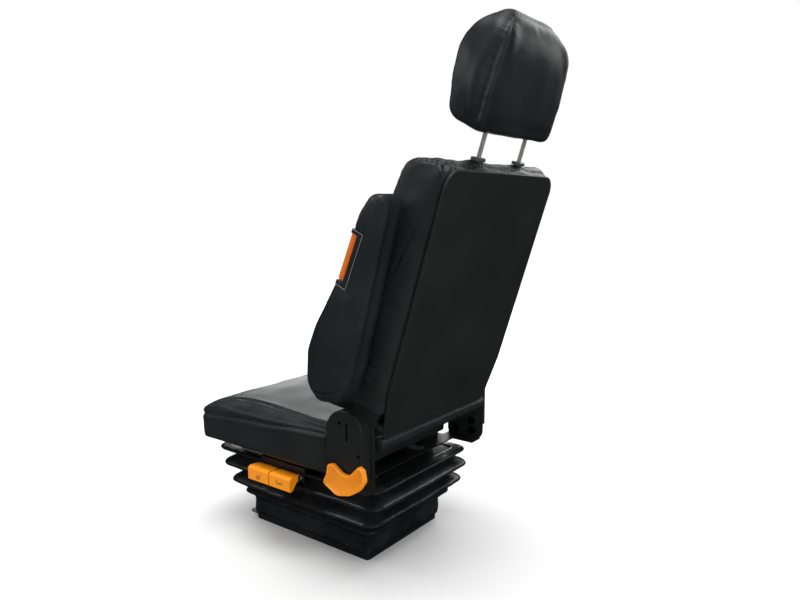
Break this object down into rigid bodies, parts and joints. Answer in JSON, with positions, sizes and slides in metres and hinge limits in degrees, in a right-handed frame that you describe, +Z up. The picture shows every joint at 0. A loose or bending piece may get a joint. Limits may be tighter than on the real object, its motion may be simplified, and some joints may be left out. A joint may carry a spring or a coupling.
{
  "type": "tractor suspension seat",
  "caption": "Tractor driver's seat on a scissor suspension in a rubber gaiter, with slide rails, reclining backrest, headrest, fold-up armrest and cushion adjusting handles.",
  "frame": {"origin": "centre of the base tray's rectangle, on the floor that it stands on", "axes": "+Z up, the sitter faces -Y, +X is the sitter's left, where the armrest and the controls are"},
  "size_m": [0.607, 0.8776, 1.2536],
  "materials": {
    "vinyl": "satin grained black vinyl",
    "panel": "fine-textured dark grey",
    "black_plastic": "fine-textured",
    "nylon": "natural nylon",
    "orange_gloss": "glossy orange",
    "orange_dark": "glossy dark orange",
    "rubber": "glossy black moulded",
    "black_steel": "black powder coat",
    "zinc_steel": "zinc plated"
  },
  "bodies": {
    "base": {"base_tray": "black_steel", "lower_pivot_pins": "zinc_steel", "damper_tube": "black_steel", "bump_stop_left": "rubber", "bump_stop_right": "rubber", "suspension_spring_left": "black_steel", "suspension_spring_right": "black_steel", "suspension_bellows": "rubber"},
    "outer_scissor": {"outer_scissor_frame": "black_steel", "scissor_centre_bolts": "zinc_steel"},
    "upper_rollers": {"upper_roller_axle": "zinc_steel", "upper_roller_left": "nylon", "upper_roller_right": "nylon"},
    "inner_scissor": {"inner_scissor_frame": "black_steel"},
    "lower_rollers": {"lower_roller_axle": "zinc_steel", "lower_roller_left": "nylon", "lower_roller_right": "nylon"},
    "upper": {"suspension_housing": "black_steel", "upper_pivot_pins": "zinc_steel", "damper_rod": "zinc_steel", "lower_slide_track_left": "zinc_steel", "lower_slide_track_right": "zinc_steel"},
    "slide": {"upper_slide_track_left": "zinc_steel", "upper_slide_track_right": "zinc_steel", "seat_frame": "black_steel", "release_bar_pins": "zinc_steel", "recliner_bracket_left": "black_steel", "recliner_bracket_right": "black_steel", "bracket_bolts": "zinc_steel", "recliner_cover_left": "black_plastic", "recliner_cover_right": "black_plastic", "cover_screws": "zinc_steel", "recliner_shaft": "zinc_steel", "paddle_bracket": "black_steel", "paddle_pin": "zinc_steel", "tilt_pins": "zinc_steel"},
    "release_bar": {"slide_release_bar": "black_steel"},
    "recline_lever": {"recliner_lever": "orange_gloss"},
    "tilt": {"tilt_frame": "black_steel", "depth_guides": "nylon"},
    "cushion": {"cushion_pan": "black_steel", "seat_cushion": "vinyl"},
    "depth_paddle": {"cushion_depth_paddle": "orange_gloss"},
    "tilt_paddle": {"cushion_tilt_paddle": "orange_gloss"},
    "backrest": {"backrest_frame": "black_steel", "backrest_hinge_plate_left": "black_steel", "backrest_hinge_plate_right": "black_steel", "backrest_foam": "vinyl", "backrest_rear_panel": "panel", "backrest_lower_roll": "vinyl", "headrest_guide_left": "black_plastic", "headrest_guide_right": "black_plastic", "armrest_bracket": "black_steel", "armrest_bolt": "zinc_steel"},
    "headrest": {"headrest_posts": "zinc_steel", "headrest_pad": "vinyl"},
    "armrest": {"armrest_core": "black_steel", "armrest_pad": "vinyl", "armrest_bezel": "black_plastic"},
    "arm_wheel": {"armrest_wheel": "orange_dark"}
  },
  "joints": [
    {"name": "suspension_travel", "type": "slide", "parent": "base", "child": "upper", "axis": [0, 0, 1], "range_m": [-0.045, 0.045], "stiffness_N_per_m": 6000, "springref_m": 0.0425, "deforming": ["suspension_spring_left", "suspension_spring_right", "suspension_bellows"]},
    {"name": "outer_scissor_fold", "type": "hinge", "parent": "base", "child": "outer_scissor", "pos_m": [0, 0.165, 0.05], "axis": [-1, 0, 0], "range_deg": [-8.2, 8.2]},
    {"name": "inner_scissor_fold", "type": "hinge", "parent": "upper", "child": "inner_scissor", "pos_m": [0, 0.165, 0.14], "axis": [1, 0, 0], "range_deg": [-8.2, 8.2]},
    {"name": "upper_roller_spin", "type": "hinge", "parent": "outer_scissor", "child": "upper_rollers", "pos_m": [0, -0.15249, 0.14], "axis": [1, 0, 0], "continuous": true},
    {"name": "lower_roller_spin", "type": "hinge", "parent": "inner_scissor", "child": "lower_rollers", "pos_m": [0, -0.15249, 0.05], "axis": [1, 0, 0], "continuous": true},
    {"name": "seat_slide", "type": "slide", "parent": "upper", "child": "slide", "axis": [0, 1, 0], "range_m": [-0.075, 0.075]},
    {"name": "release_bar_lift", "type": "hinge", "parent": "slide", "child": "release_bar", "pos_m": [0, -0.06, 0.215], "axis": [-1, 0, 0], "range_deg": [0, 3], "stiffness_Nm_per_rad": 6, "springref_deg": -8.59},
    {"name": "recline_lever_lift", "type": "hinge", "parent": "slide", "child": "recline_lever", "pos_m": [0.263, 0.231, 0.36], "axis": [-1, 0, 0], "range_deg": [0, 18], "stiffness_Nm_per_rad": 3, "springref_deg": -17.19},
    {"name": "cushion_tilt", "type": "hinge", "parent": "slide", "child": "tilt", "pos_m": [0, 0.175, 0.23125], "axis": [-1, 0, 0], "range_deg": [0, 8]},
    {"name": "cushion_depth", "type": "slide", "parent": "tilt", "child": "cushion", "axis": [0, -1, 0], "range_m": [0, 0.06]},
    {"name": "depth_paddle_lift", "type": "hinge", "parent": "slide", "child": "depth_paddle", "pos_m": [0.227, 0, 0.202], "axis": [0, -1, 0], "range_deg": [0, 14], "stiffness_Nm_per_rad": 1.5, "springref_deg": -11.46},
    {"name": "tilt_paddle_lift", "type": "hinge", "parent": "slide", "child": "tilt_paddle", "pos_m": [0.227, 0, 0.202], "axis": [0, -1, 0], "range_deg": [0, 14], "stiffness_Nm_per_rad": 1.5, "springref_deg": -11.46},
    {"name": "backrest_recline", "type": "hinge", "parent": "slide", "child": "backrest", "pos_m": [0, 0.231, 0.36], "axis": [-1, 0, 0], "range_deg": [-20, 50]},
    {"name": "headrest_height", "type": "slide", "parent": "backrest", "child": "headrest", "axis": [0, 0.299, 0.9542], "range_m": [-0.04, 0.025]},
    {"name": "armrest_fold", "type": "hinge", "parent": "backrest", "child": "armrest", "pos_m": [0.3, 0.262, 0.515], "axis": [1, 0, 0], "range_deg": [0, 105]},
    {"name": "armrest_wheel_turn", "type": "hinge", "parent": "armrest", "child": "arm_wheel", "pos_m": [0.312, 0.30183, 0.76046], "axis": [0, 0.3891, 0.9212], "continuous": true}
  ],
  "couplings": [
    {"joint": "outer_scissor_fold", "follows": "suspension_travel", "rad_per_m": 3.17},
    {"joint": "inner_scissor_fold", "follows": "suspension_travel", "rad_per_m": 3.17}
  ]
}
